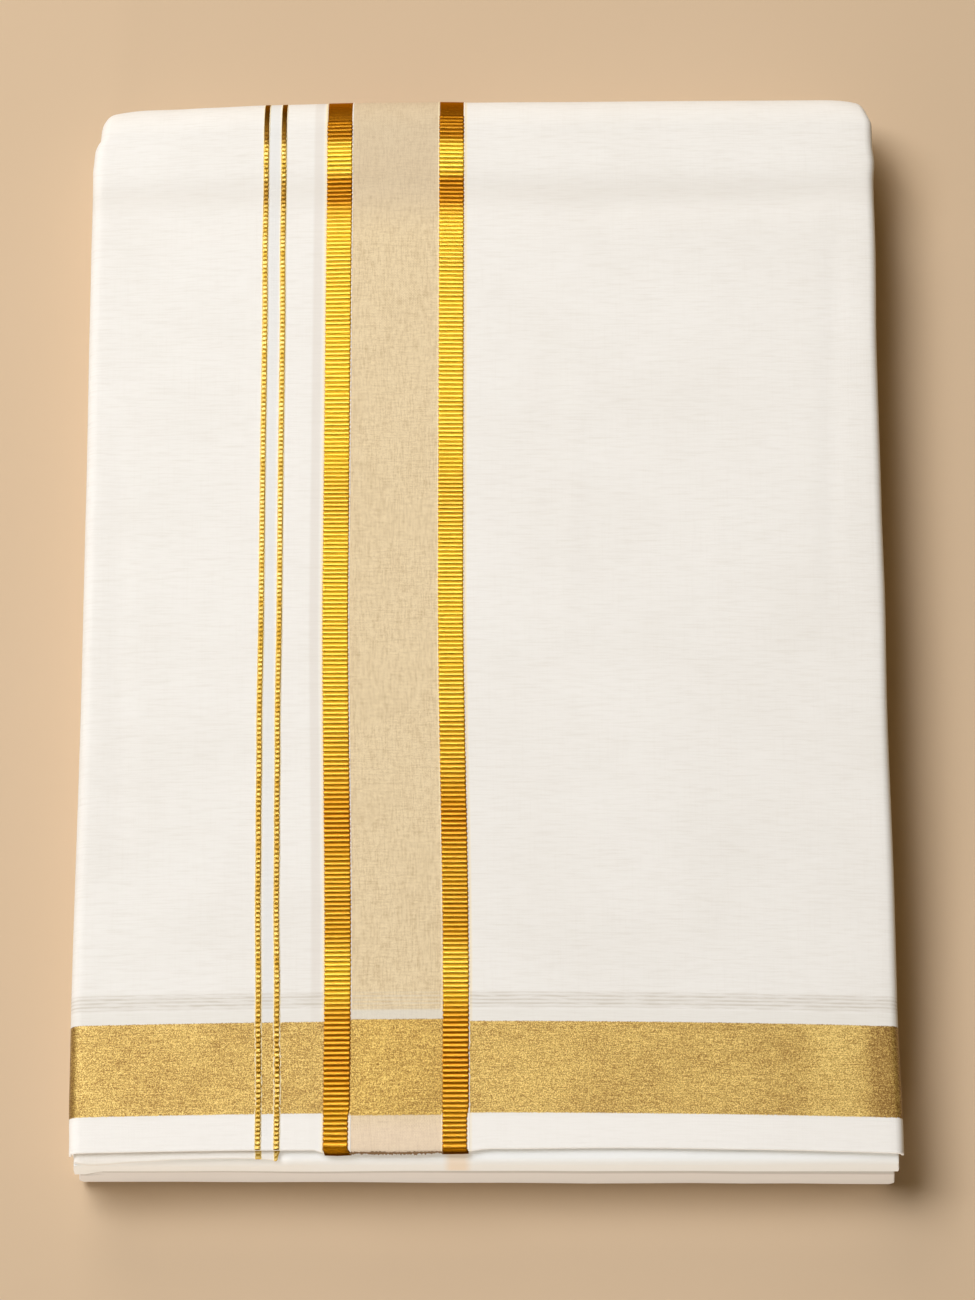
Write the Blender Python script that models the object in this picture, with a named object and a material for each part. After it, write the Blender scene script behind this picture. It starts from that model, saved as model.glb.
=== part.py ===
"""A cotton dhoti with zari borders, pressed and folded to a flat oblong.

The cloth is doubled selvedge to selvedge, folded to one width all along its length, and doubled once
more, so its layers nest round one fat fold at the far end. +X is to the right of someone facing the near
selvedge edge, +Y runs from that edge to the far fold, +Z is up, and the origin is under the middle of it.
"""

import math

import bmesh
import bpy
from mathutils import Vector

MM = 0.001

# Driving sizes of the folded cloth
FOLD_WIDTH = 236 * MM
FOLD_LENGTH = 335.5 * MM
FOLD_HEIGHT = 30.9 * MM
OUTER_WALL = 1.2 * MM
SECOND_WALL = 1.0 * MM
SEAM_GAP = 0.3 * MM
TURN_DEPTH = 5.0 * MM
FOLD_LEAN = 1.9 * MM

HALF_WIDTH = FOLD_WIDTH / 2
FRONT_Y = -FOLD_LENGTH / 2 + 0.4 * MM
ROLL_RADIUS = FOLD_HEIGHT / 2
ROLL_Y = FOLD_LENGTH / 2 - ROLL_RADIUS - 1.3 * MM
NEAR_EDGE_Y = FRONT_Y + 3 * MM
ROLL_NARROWING = 0.986
NARROWING_LENGTH = 10 * MM
LEAN_START_Y = 20 * MM
LEAN_LENGTH = 110 * MM
SIDE_ARC = 3.5 * MM
SIDE_ARC_STEPS = 4
RETURN_STEPS = 6
RETURN_LENGTH = 3.4 * MM
DOME = 0.7 * MM
ROLL_END_SAG = 2.2 * MM
ROLL_END_LENGTH = 21 * MM
SAG_EASING = 6 * MM
EDGE_BOW = 1.0 * MM
BOW_LENGTH = 110 * MM

# Height of the top leaf under the crest of the far fold, by distance behind the roll's axis
FIELD_HEIGHTS = (
    {"behind": 320 * MM, "drop": 1.6 * MM},
    {"behind": 300 * MM, "drop": 0.9 * MM},
    {"behind": 230 * MM, "drop": 0.7 * MM},
    {"behind": 120 * MM, "drop": 0.9 * MM},
    {"behind": 38 * MM, "drop": 0.8 * MM},
    {"behind": 18 * MM, "drop": 2.1 * MM},
    {"behind": 6 * MM, "drop": 0.1 * MM},
    {"behind": 0 * MM, "drop": 0.0 * MM},
)

# How far the near selvedge edge reaches past its straight line, from left to right
NEAR_EDGE = (
    {"x": -118 * MM, "reach": 1.2 * MM},
    {"x": -97 * MM, "reach": 0.7 * MM},
    {"x": -75 * MM, "reach": 0.3 * MM},
    {"x": -49 * MM, "reach": 0.0 * MM},
    {"x": -26 * MM, "reach": 1.4 * MM},
    {"x": -10 * MM, "reach": 1.5 * MM},
    {"x": 0 * MM, "reach": 0.0 * MM},
    {"x": 46 * MM, "reach": -0.6 * MM},
    {"x": 88 * MM, "reach": 0.1 * MM},
    {"x": 118 * MM, "reach": 1.1 * MM},
)

# Woven bands along the near selvedge, as distances from its edge
HEM_WIDTH = 10.2 * MM
GOLD_BAND_WIDTH = 27.2 * MM

# Woven stripes that run from the near edge over the far fold: two fine lines, then two ribbed stripes
STRIPES = (
    {"x": -66.4 * MM, "width": 1.7 * MM, "ribbed": False},
    {"x": -60.5 * MM, "width": 1.7 * MM, "ribbed": False},
    {"x": -44.2 * MM, "width": 7.8 * MM, "ribbed": True},
    {"x": -10.5 * MM, "width": 7.9 * MM, "ribbed": True},
)
STRIPE_DRIFT = 1.8 * MM
DRIFT_START_Y = 10 * MM
DRIFT_LENGTH = 130 * MM
DRIFT_SIDE = 30 * MM
DRIFT_LAST_X = 60 * MM
STRIPE_MARGIN = 0.4 * MM
LINE_HEIGHT = 0.3 * MM
RIB_HEIGHT = 0.35 * MM
RIB_PITCH = 1.4 * MM

# Places across the plain cloth where the top leaf has a column of points
PLAIN_COLUMNS = (-97 * MM, -80 * MM, -53 * MM, -27 * MM, 14 * MM, 40 * MM, 68 * MM, 97 * MM)
FIELD_ROWS = (-90 * MM, -50 * MM, -10 * MM, 30 * MM, 70 * MM)
VALLEY_ROWS = (104 * MM, 114 * MM, 121 * MM, 127 * MM, 132.4 * MM, 137 * MM, 141 * MM, 145 * MM)
TOP_LEAF_END = 118
BASE_LEAF_START = 119.3
ROLL_STEP = 14.75
BASE_ROWS = (60 * MM, -40 * MM, -130 * MM)

# The second leaf: how far its edge turns down over the front, in degrees, from left to right
SECOND_EDGE = (
    {"x": -118 * MM, "over": 50},
    {"x": -112 * MM, "over": 60},
    {"x": -97 * MM, "over": 48},
    {"x": -86 * MM, "over": 41},
    {"x": -73 * MM, "over": 38},
    {"x": -63 * MM, "over": 39},
    {"x": -58.6 * MM, "over": 45},
    {"x": -58.0 * MM, "over": 22},
    {"x": -57.4 * MM, "over": 0},
    {"x": -56.4 * MM, "over": -6},
    {"x": 118 * MM, "over": -6},
)
SECOND_COLUMNS = (-112, -97, -86, -73, -63, -58.6, -58, -57.4, -56.4, -20, 30, 75, 115)
SECOND_ROWS = (-150 * MM, -110 * MM, -50 * MM, 10 * MM, 70 * MM, 104 * MM)
SECOND_END_Y = 116 * MM
SECOND_EDGE_ROWS = 5
SECOND_RETREAT = 6 * MM
SECOND_RETREAT_SPREAD = 3 * MM

# The hidden layers, from the outer surface in to the crease of the last doubling. Depth is a share of the
# half thickness, tuck is how far that layer lies in from the widest, nose how far back from the front.
STACK_WIDTH = 234.6 * MM
STACK_FRONT_RADIUS = 4.7 * MM
STACK_CORNER = 4 * MM
STACK_CORNER_ANGLES = (45, 22.5, 0)
BOTTOM_RADIUS = 2 * MM
STACK_ROWS = (-150 * MM, -110 * MM, -50 * MM, 10 * MM, 60 * MM)
TRAY_DEPTH = 0.335
LAYER_LEVELS = (
    {"depth": 0.0, "tuck": 3.9 * MM, "nose": 0.0 * MM},
    {"depth": 0.1, "tuck": 2.7 * MM, "nose": 0.0 * MM},
    {"depth": 0.32, "tuck": 2.5 * MM, "nose": 0.2 * MM},
    {"depth": TRAY_DEPTH, "tuck": 1.0 * MM, "nose": 0.3 * MM},
    {"depth": 0.39, "tuck": 0.2 * MM, "nose": 0.1 * MM},
    {"depth": 0.50, "tuck": 0.1 * MM, "nose": 0.0 * MM},
    {"depth": 0.56, "tuck": 0.9 * MM, "nose": 0.4 * MM},
    {"depth": 0.61, "tuck": 0.3 * MM, "nose": 0.1 * MM},
    {"depth": 0.72, "tuck": 0.4 * MM, "nose": 0.0 * MM},
    {"depth": 0.77, "tuck": 1.2 * MM, "nose": 0.4 * MM},
    {"depth": 0.82, "tuck": 0.4 * MM, "nose": 0.1 * MM},
    {"depth": 0.94, "tuck": 0.5 * MM, "nose": 0.2 * MM},
    {"depth": 1.0, "tuck": 2.6 * MM, "nose": 1.4 * MM},
)
C_TURN_ROOM = 3.6 * MM
C_TURN_ROOM_END = 150
C_TURN_ROOM_FADE = 28
STACK_END_TAPER = 2.0 * MM
STACK_ROLL_COVER = OUTER_WALL + SEAM_GAP + 0.1 * MM
STACK_FIELD_COVER = OUTER_WALL + SECOND_WALL + 2 * SEAM_GAP
COVER_CHANGE_START = 1 * MM
COVER_CHANGE_LENGTH = 6 * MM
STACK_COLUMNS = (-97, -50, 0, 50, 97)

COTTON = {"colour": (0.87, 0.84, 0.78), "roughness": 0.85, "metallic": 0.0}
ZARI = {"colour": (0.80, 0.47, 0.07), "roughness": 0.3, "metallic": 0.85}
GOLD_WEAVE = {"colour": (0.62, 0.40, 0.13), "roughness": 0.5, "metallic": 0.5}
TISSUE = {"colour": (0.78, 0.60, 0.37), "roughness": 0.7, "metallic": 0.1}
SHARP_ANGLE = 40


def ease(share):
    """A share from 0 to 1, eased at both ends."""
    share = min(max(share, 0.0), 1.0)
    return share * share * (3 - 2 * share)


def read_table(table, key, value, at):
    """The eased value of a table's column at a place between two of its rows."""
    rows = sorted(table, key=lambda row: row[key])
    if at <= rows[0][key]:
        return rows[0][value]
    for low, high in zip(rows, rows[1:]):
        if at <= high[key]:
            share = (at - low[key]) / (high[key] - low[key])
            return low[value] + (high[value] - low[value]) * ease(share)
    return rows[-1][value]


def quarter_inset(distance, radius):
    """How far a rounded edge lies in at a distance from the corner that it rounds."""
    if distance >= radius:
        return 0.0
    return radius - math.sqrt(radius**2 - (radius - max(distance, 0.0)) ** 2)


def field_height(y):
    return FOLD_HEIGHT - read_table(FIELD_HEIGHTS, "behind", "drop", ROLL_Y - y)


def wrap_path(y, turn):
    """Point and outward direction of the outer surface in the YZ plane.

    The turn is 0 on the top, grows round the far fold to 180, and stays there under the cloth."""
    if turn == 0:
        step = 0.5 * MM
        rise = field_height(y + step) - field_height(y - step)
        return Vector((0, y, field_height(y))), Vector((0, -rise, 2 * step)).normalized()
    if turn == 180:
        return Vector((0, y, 0)), Vector((0, 0, -1))
    angle = math.radians(turn)
    out = Vector((0, math.sin(angle), math.cos(angle)))
    return Vector((0, ROLL_Y, ROLL_RADIUS)) + out * ROLL_RADIUS, out


def sag(x, y, turn):
    """How far the surface lies under the wrap path: a low dome, and the softer ends of the far fold."""
    top = (1 + math.cos(math.radians(turn))) / 2
    dome = DOME * top * (x / HALF_WIDTH) ** 2
    from_end = (abs(x) - HALF_WIDTH + ROLL_END_LENGTH) / ROLL_END_LENGTH
    near_roll = ease((y - ROLL_Y + SAG_EASING) / SAG_EASING) * math.sin(math.radians(turn)) ** 2
    return dome + ROLL_END_SAG * near_roll * max(from_end, 0.0)


def lean(x, y):
    """Shift along Y of the far fold, which isn't quite square to the sides."""
    return FOLD_LEAN * (x / HALF_WIDTH) * ease((y - LEAN_START_Y) / LEAN_LENGTH)


def narrowing(y, turn):
    """The far fold, and the stretch under the stack, are a little narrower than the field."""
    if turn > 0:
        return ROLL_NARROWING
    return 1 - (1 - ROLL_NARROWING) * ease((y - ROLL_Y + NARROWING_LENGTH) / NARROWING_LENGTH)


def wrap_point(x, depth, y, turn, bend=0.0, inward=0.0):
    """A point of a leaf: depth under the wrap path, then inward along the leaf's own direction.

    The bend turns that direction from straight out of the stack towards +X, in degrees."""
    on_path, out = wrap_path(y, turn)
    tip = math.radians(bend)
    leaf_out = out * math.cos(tip) + Vector((math.sin(tip), 0, 0))
    place = on_path - out * (depth + sag(x, y, turn)) - leaf_out * inward
    return place + Vector((x * narrowing(y, turn), lean(x, on_path.y), 0))


def lattice_block(counts, place):
    """A cube cut into a lattice, each surface point then moved to place(i, j, k). Gives mesh and points."""
    mesh = bmesh.new()
    bmesh.ops.create_cube(mesh, size=2)
    for axis, count in enumerate(counts):
        along = [
            edge for edge in mesh.edges if abs(edge.verts[0].co[axis] - edge.verts[1].co[axis]) > MM
        ]
        if count > 1:
            bmesh.ops.subdivide_edges(mesh, edges=along, cuts=count - 1)
    points = {}
    for vert in mesh.verts:
        index = tuple(round((vert.co[axis] + 1) / 2 * counts[axis]) for axis in range(3))
        points[index] = vert
    for index, vert in points.items():
        vert.co = place(*index)
    return mesh, points


def principled(name, look):
    material = bpy.data.materials.new(name)
    material.use_nodes = True
    shader = material.node_tree.nodes["Principled BSDF"]
    shader.inputs["Base Color"].default_value = (*look["colour"], 1)
    shader.inputs["Roughness"].default_value = look["roughness"]
    shader.inputs["Metallic"].default_value = look["metallic"]
    return material


def add_piece(name, mesh, materials, collection):
    data = bpy.data.meshes.new(name)
    mesh.to_mesh(data)
    mesh.free()
    for material in materials:
        data.materials.append(material)
    data.shade_smooth()
    data.set_sharp_from_angle(angle=math.radians(SHARP_ANGLE))
    piece = bpy.data.objects.new(name, data)
    collection.objects.link(piece)
    return piece


def side_arc(centre_x, radius, start, end, steps):
    """Columns round a turned side: place across, depth, and the direction that the leaf faces there."""
    columns = []
    for step in range(steps + 1):
        bend = start + (end - start) * step / steps
        angle = math.radians(bend)
        x = centre_x + radius * math.sin(angle)
        columns.append({"x": x, "depth": radius * (1 - math.cos(angle)), "bend": bend})
    return columns


def turned_down_side():
    """Columns of a left side that turns down the side of the stack, from its lip up to the flat."""
    lip = {"x": -HALF_WIDTH, "depth": TURN_DEPTH, "bend": -90}
    return [lip, *side_arc(SIDE_ARC - HALF_WIDTH, SIDE_ARC, -90, 0, SIDE_ARC_STEPS)]


def stripe_columns(stripe):
    half = stripe["width"] / 2
    offsets = (-half - STRIPE_MARGIN, -half, half, half + STRIPE_MARGIN)
    return [stripe["x"] + offset for offset in offsets]


def top_leaf_columns():
    """Left turn-down, the field with its stripes, and the right side turned under itself."""
    places = list(PLAIN_COLUMNS)
    for stripe in STRIPES:
        places += stripe_columns(stripe)
    field = [{"x": x, "depth": 0.0, "bend": 0} for x in sorted(places)]
    turn_radius = TURN_DEPTH / 2
    right = side_arc(HALF_WIDTH - turn_radius, turn_radius, 0, 180, RETURN_STEPS)
    under = {"x": HALF_WIDTH - turn_radius - RETURN_LENGTH, "depth": TURN_DEPTH, "bend": 180}
    return [*turned_down_side(), *field, *right, under]


def near_rows():
    """Rows at the near edge and at both sides of the gold band."""
    band_start = NEAR_EDGE_Y + HEM_WIDTH
    return [NEAR_EDGE_Y, band_start, band_start + GOLD_BAND_WIDTH]


def top_leaf_rows():
    flat = [*near_rows(), *FIELD_ROWS, *VALLEY_ROWS]
    steps = round(TOP_LEAF_END / ROLL_STEP)
    turns = [TOP_LEAF_END * step / steps for step in range(steps + 1)]
    return [(y, 0) for y in flat] + [(ROLL_Y, turn) for turn in turns]


def stripe_drift(x, y):
    """The stripes swing a little to the right towards the near edge; the sides of the cloth don't."""
    inner = ease((HALF_WIDTH - abs(x)) / DRIFT_SIDE) * ease((DRIFT_LAST_X - x) / DRIFT_LAST_X)
    return STRIPE_DRIFT * inner * ease((DRIFT_START_Y - y) / DRIFT_LENGTH)


def weave_bow(x, y):
    """How far a line across the weave bows towards the near edge: the selvedge unevenly, the band less."""
    share = 1 - ease((y - NEAR_EDGE_Y) / HEM_WIDTH)
    bow = EDGE_BOW * (x / HALF_WIDTH) ** 2 * ease(-y / BOW_LENGTH)
    return bow + read_table(NEAR_EDGE, "x", "reach", x) * share


def leaf_point(column, row, inward):
    y, turn = row
    x = column["x"]
    if turn == 0:
        y -= weave_bow(x, y)
    place = wrap_point(x, column["depth"], y, turn, column["bend"], inward)
    return place + Vector((stripe_drift(x, row[0]) if turn == 0 else 0.0, 0, 0))


def raise_points(points, columns, rows, places, height):
    """Lifts the outer points of the named places across by one height."""
    for i, column in enumerate(columns):
        if any(abs(column["x"] - x) < 0.01 * MM for x in places):
            for j in range(len(rows)):
                outer = points[(i, j, 1)]
                outward = (outer.co - points[(i, j, 0)].co).normalized()
                outer.co += outward * height


def rib_spans(mesh, points, columns, rows, stripe):
    """Each stretch of one stripe between two rows: its two outer edges, its run, and its outward side."""
    places = stripe_columns(stripe)[1:3]
    sides = [i for i, column in enumerate(columns) if any(abs(column["x"] - x) < 0.01 * MM for x in places)]
    spans = []
    for j in range(len(rows) - 1):
        starts = [points[(i, j, 1)] for i in sides]
        ends = [points[(i, j + 1, 1)] for i in sides]
        inner = points[(sides[0], j, 0)].co + points[(sides[0], j + 1, 0)].co
        outward = (starts[0].co + ends[0].co - inner).normalized()
        origin = starts[0].co.copy()
        edges = [mesh.edges.get(pair) for pair in zip(starts, ends)]
        spans.append({"edges": edges, "from": origin, "run": ends[0].co - origin, "out": outward})
    return spans


def add_ribs(mesh, spans):
    """Cuts a stripe of the outer surface into ribs across it, every other line of points standing proud."""
    for span in spans:
        run = span["run"]
        steps = 2 * max(round(run.length / RIB_PITCH), 1)
        made = bmesh.ops.subdivide_edges(mesh, edges=span["edges"], cuts=steps - 1)
        for vert in [part for part in made["geom_inner"] if isinstance(part, bmesh.types.BMVert)]:
            step = round((vert.co - span["from"]).dot(run) / run.length_squared * steps)
            if step % 2:
                vert.co += span["out"] * RIB_HEIGHT


def woven_face_looks(mesh):
    """Gives each outer face of the top leaf the slot of the weave that it lies in."""
    slots = {"cotton": 0, "zari": 1, "gold weave": 2, "tissue": 3}
    band_start = NEAR_EDGE_Y + HEM_WIDTH
    band_end = band_start + GOLD_BAND_WIDTH
    zari_stripes = [stripe for stripe in STRIPES if stripe["ribbed"]]
    tissue_from = zari_stripes[0]["x"]
    tissue_to = zari_stripes[-1]["x"]
    for face in mesh.faces:
        middle = face.calc_center_bounds()
        x = middle.x - stripe_drift(middle.x, middle.y)
        y = middle.y - lean(x, middle.y)
        in_band = band_start < y < band_end and middle.z > ROLL_RADIUS
        if in_band:
            face.material_index = slots["gold weave"]
        if tissue_from < x < tissue_to and not in_band:
            face.material_index = slots["tissue"]
        for stripe in STRIPES:
            if abs(x - stripe["x"]) < stripe["width"] / 2 + STRIPE_MARGIN / 4:
                face.material_index = slots["zari"]


def make_top_leaf(materials, collection):
    columns = top_leaf_columns()
    rows = top_leaf_rows()
    walls = (OUTER_WALL, 0.0)
    counts = (len(columns) - 1, len(rows) - 1, 1)
    mesh, points = lattice_block(counts, lambda i, j, k: leaf_point(columns[i], rows[j], walls[k]))
    ribbed = [rib_spans(mesh, points, columns, rows, stripe) for stripe in STRIPES if stripe["ribbed"]]
    for stripe in STRIPES:
        if not stripe["ribbed"]:
            raise_points(points, columns, rows, stripe_columns(stripe)[1:3], LINE_HEIGHT)
    woven_face_looks(mesh)
    for spans in ribbed:
        add_ribs(mesh, spans)
    return add_piece("top_leaf", mesh, materials, collection)


def second_leaf_point(column, j, wall):
    """The second leaf: its near rows follow the rounded front of the stack, the others the field."""
    x = column["x"]
    depth = OUTER_WALL + SEAM_GAP
    fold_y = FRONT_Y + STACK_FRONT_RADIUS
    field_j = j - SECOND_EDGE_ROWS
    if field_j >= 0:
        y = [*SECOND_ROWS, SECOND_END_Y][field_j]
        return wrap_point(x, column["depth"], y, 0, column["bend"], depth + wall)
    over = read_table(SECOND_EDGE, "x", "over", x)
    share = 1 - j / (SECOND_EDGE_ROWS - 1)
    angle = math.radians(over * share)
    if over < 0:
        fold_y += SECOND_RETREAT + (1 - share) * SECOND_RETREAT_SPREAD
    flat = wrap_point(x, column["depth"], fold_y, 0, column["bend"], depth + wall)
    if over < 0:
        return flat
    radius = STACK_FRONT_RADIUS + SEAM_GAP + SECOND_WALL - wall * math.cos(math.radians(column["bend"]))
    drop = radius * (1 - math.cos(angle)) * (1 - column["depth"] / TURN_DEPTH)
    return flat - Vector((0, radius * math.sin(angle), drop))


def make_second_leaf(materials, collection):
    field = [{"x": x * MM, "depth": 0.0, "bend": 0} for x in SECOND_COLUMNS]
    columns = [*turned_down_side(), *field]
    walls = (SECOND_WALL, 0.0)
    rows = SECOND_EDGE_ROWS + len(SECOND_ROWS) + 1
    counts = (len(columns) - 1, rows - 1, 1)
    mesh, _ = lattice_block(counts, lambda i, j, k: second_leaf_point(columns[i], j, walls[k]))
    return add_piece("second_leaf", mesh, materials, collection)


def make_base_leaf(materials, collection):
    half = turned_down_side()
    mirrored = [{"x": -c["x"], "depth": c["depth"], "bend": -c["bend"]} for c in reversed(half)]
    columns = half + [{"x": x * MM, "depth": 0.0, "bend": 0} for x in STACK_COLUMNS] + mirrored
    steps = round((180 - BASE_LEAF_START) / ROLL_STEP)
    turns = [BASE_LEAF_START + (179.99 - BASE_LEAF_START) * step / steps for step in range(steps + 1)]
    rows = [(ROLL_Y, turn) for turn in turns[:-1]]
    rows += [(y, 180) for y in (ROLL_Y, *BASE_ROWS, FRONT_Y)]
    walls = (OUTER_WALL, 0.0)

    def place(i, j, k):
        column = columns[i]
        y, turn = rows[j]
        return wrap_point(column["x"], column["depth"], y, turn, column["bend"], walls[k])

    mesh, _ = lattice_block((len(columns) - 1, len(rows) - 1, 1), place)
    return add_piece("base_leaf", mesh, materials, collection)


def stack_cover(y, turn):
    """Depth of the hidden layers' outer surface under the wrap path."""
    if turn > 0:
        return STACK_ROLL_COVER
    share = ease((y - SECOND_END_Y - COVER_CHANGE_START) / COVER_CHANGE_LENGTH)
    return STACK_FIELD_COVER + (STACK_ROLL_COVER - STACK_FIELD_COVER) * share


def corner_insets():
    """Places along a rounded corner of the stack, seen from above, as distances in from its side."""
    return [STACK_CORNER * (1 - math.sin(math.radians(angle))) for angle in STACK_CORNER_ANGLES]


def stack_columns():
    """Places across the stack as shares of its half width, with more near each rounded corner."""
    half = STACK_WIDTH / 2
    left = [inset / half - 1 for inset in corner_insets()]
    middle = [x * MM / half for x in STACK_COLUMNS]
    return left + middle + [-share for share in reversed(left)]


def front_inset(level, below_top, above_bottom):
    """How far the front of the stack lies back at one of its layers."""
    rounded = quarter_inset(below_top, STACK_FRONT_RADIUS) + quarter_inset(above_bottom, BOTTOM_RADIUS)
    return level["nose"] + rounded


def layer_tuck(level, y, turn, on_right):
    """How far a layer lies in from the side: more where the top leaf turns under itself."""
    if not on_right or level["depth"] >= TRAY_DEPTH:
        return level["tuck"]
    room = C_TURN_ROOM + HALF_WIDTH * (1 - narrowing(y, turn))
    return level["tuck"] + room * ease((C_TURN_ROOM_END - turn) / C_TURN_ROOM_FADE)


def stack_turn(up, past):
    """Direction of a lattice point round the far fold: square rings of the lattice become arcs."""
    if past == 0:
        return 0 if up >= 0 else 180
    if past > abs(up):
        return 90 - 45 * up / past
    turn = 45 * past / abs(up)
    return turn if up > 0 else 180 - turn


def make_folded_layers(materials, collection):
    columns = stack_columns()
    corner = corner_insets()
    rows = [FRONT_Y + inset for inset in corner]
    rows += [*STACK_ROWS, *VALLEY_ROWS, ROLL_Y]
    levels = [*reversed(LAYER_LEVELS)]
    half_count = len(levels) - 1
    last_row = len(rows) - 1
    last_column = len(columns) - 1

    def place(i, j, k):
        up = k - half_count
        past = max(j - last_row, 0)
        level = levels[max(abs(up), past)]
        share = 1 - level["depth"]
        turn = stack_turn(up, past)
        y = rows[min(j, last_row)]
        half = STACK_WIDTH / 2 - layer_tuck(level, y, turn, columns[i] > 0)
        x = columns[i] * half
        if i in (0, last_column):
            x = math.copysign(half - quarter_inset(y - FRONT_Y, STACK_CORNER), x)
        if past:
            reach = (ROLL_RADIUS - STACK_ROLL_COVER - sag(x, ROLL_Y, turn)) * share
            y += reach * math.sin(math.radians(turn))
            z = ROLL_RADIUS + reach * math.cos(math.radians(turn))
            x -= STACK_END_TAPER * columns[i] * ((y - ROLL_Y) / ROLL_RADIUS) ** 2
        else:
            inward = stack_cover(y, turn) + sag(x, y, turn)
            top = field_height(y) - inward
            surface = top if up >= 0 else inward
            z = ROLL_RADIUS + (surface - ROLL_RADIUS) * share
            if j < len(corner):
                y += front_inset(level, top - z, z - STACK_ROLL_COVER)
            if j == 0:
                from_side = (1 - abs(columns[i])) * STACK_WIDTH / 2
                y += quarter_inset(from_side, STACK_CORNER) - corner[0]
        return Vector((x, y + lean(x, y), z))

    mesh, _ = lattice_block((last_column, last_row + half_count, 2 * half_count), place)
    return add_piece("folded_layers", mesh, materials, collection)


def main():
    for leftover in list(bpy.data.objects):
        bpy.data.objects.remove(leftover, do_unlink=True)
    collection = bpy.data.collections.new("folded_dhoti")
    bpy.context.scene.collection.children.link(collection)
    cotton = principled("cotton", COTTON)
    woven = [cotton, principled("zari", ZARI), principled("gold_weave", GOLD_WEAVE)]
    woven.append(principled("tissue", TISSUE))
    make_top_leaf(woven, collection)
    make_second_leaf([cotton], collection)
    make_folded_layers([cotton], collection)
    make_base_leaf([cotton], collection)


main()
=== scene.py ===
import math

import bmesh
import bpy
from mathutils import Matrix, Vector, noise


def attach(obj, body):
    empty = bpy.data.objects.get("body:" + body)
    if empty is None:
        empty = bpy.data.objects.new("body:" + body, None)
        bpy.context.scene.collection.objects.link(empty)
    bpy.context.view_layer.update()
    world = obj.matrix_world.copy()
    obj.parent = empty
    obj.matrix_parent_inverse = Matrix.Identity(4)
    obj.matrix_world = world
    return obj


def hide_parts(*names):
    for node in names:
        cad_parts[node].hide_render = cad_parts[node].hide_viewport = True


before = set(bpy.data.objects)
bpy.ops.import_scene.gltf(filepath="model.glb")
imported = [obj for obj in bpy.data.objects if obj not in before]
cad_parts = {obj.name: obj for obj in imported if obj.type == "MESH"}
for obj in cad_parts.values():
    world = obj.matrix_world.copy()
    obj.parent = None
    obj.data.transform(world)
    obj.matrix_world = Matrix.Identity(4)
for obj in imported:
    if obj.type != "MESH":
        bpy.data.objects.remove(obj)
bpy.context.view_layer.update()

mm = 0.001

# the folded cloth's own sizes, all in metres, the same as its solids have
fold = {
    "width": 236 * mm,
    "nearEdgeY": -163.4 * mm,  # selvedge edge of the top leaf
    "frontY": -167.1 * mm,  # front of the stack
    "rollY": 151.0 * mm,  # axis of the far fold
    "rollRadius": 15.45 * mm,
    "height": 30.9 * mm,
    "lean": 1.9 * mm,
    "dome": 0.7 * mm,
    "endSag": 2.2 * mm,
    "endSagLength": 15 * mm,
    "underInset": 1.65 * mm,  # the underside is this much narrower each side
    "insetReach": 46 * mm,  # how far in from the sides an inset is taken up
    "sideRadius": 3.5 * mm,  # left sides turn down round this
    "returnRadius": 2.5 * mm,  # the right side turns under itself round this
    "turnDepth": 5.0 * mm,
    "returnLength": 3.4 * mm,
    "bow": 1.4 * mm,
    "drift": 1.8 * mm,
}

# drop of the field under the crest of the far fold, by distance behind the fold's axis
fieldDrops = ((320, 1.6), (300, 0.9), (230, 0.7), (120, 0.9), (38, 0.8), (18, 2.1), (6, 0.1), (0, 0.0))
# how far the near selvedge edge reaches past its straight line, by place across
edgeReach = ((-118, 0.2), (-97, 0.2), (-75, 0.25), (-49.5, 0.45), (-47, 1.4), (-43, 1.55), (-38, 1.35), (-26, 1.5),
             (-13, 1.25), (-8, 1.2), (0, 0.35), (46, -0.1), (88, -0.05), (118, 0.15))
# how far the far fold lies back of its straight line, by place across
farReach = ((-118, -0.35), (-96, -0.25), (-84, 0.1), (-66, 0.55), (-35, 0.75), (-16, 0.6), (0, 0.25), (35, 0.0),
            (104, -0.2))
# how far each side lies in from the full width, by distance behind the far fold's axis, or round it where over 0
leftInset = ((-314, 0.4), (-300, 0.1), (-271, 0.0), (-181, 0.4), (-119, 0.25), (-55, -0.1), (-15, -0.3),
             (-10, -0.3), (-5.5, 0.0), (-2.2, 0.3), (-0.6, 1.0), (0.6, 1.8), (6, 1.95), (14, 2.3), (22, 2.5),
             (36, 2.2), (48.5, 1.65))
rightInset = ((-314, -0.8), (-271, 0.0), (-241, 0.0), (-181, 0.6), (-150, 0.35), (-119, 0.65), (-70, 0.85), (-38, 0.4),
              (-17, 0.4), (-11, 0.05), (-5, 0.6), (3, 0.65), (6.2, 1.3), (8, 1.8), (14, 2.3), (22, 2.5), (36, 2.2),
              (48.5, 1.65))


def ease(share):
    share = min(max(share, 0.0), 1.0)
    return share * share * (3 - 2 * share)


def fromTable(table, at):
    # eased value between two rows of a table in mm, keys in any order
    rows = sorted(table)
    at /= mm
    if at <= rows[0][0]:
        return rows[0][1] * mm
    for low, high in zip(rows, rows[1:]):
        if at <= high[0]:
            return (low[1] + (high[1] - low[1]) * ease((at - low[0]) / (high[0] - low[0]))) * mm
    return rows[-1][1] * mm


def fieldHeight(y):
    return fold["height"] - fromTable(fieldDrops, fold["rollY"] - y)


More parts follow.
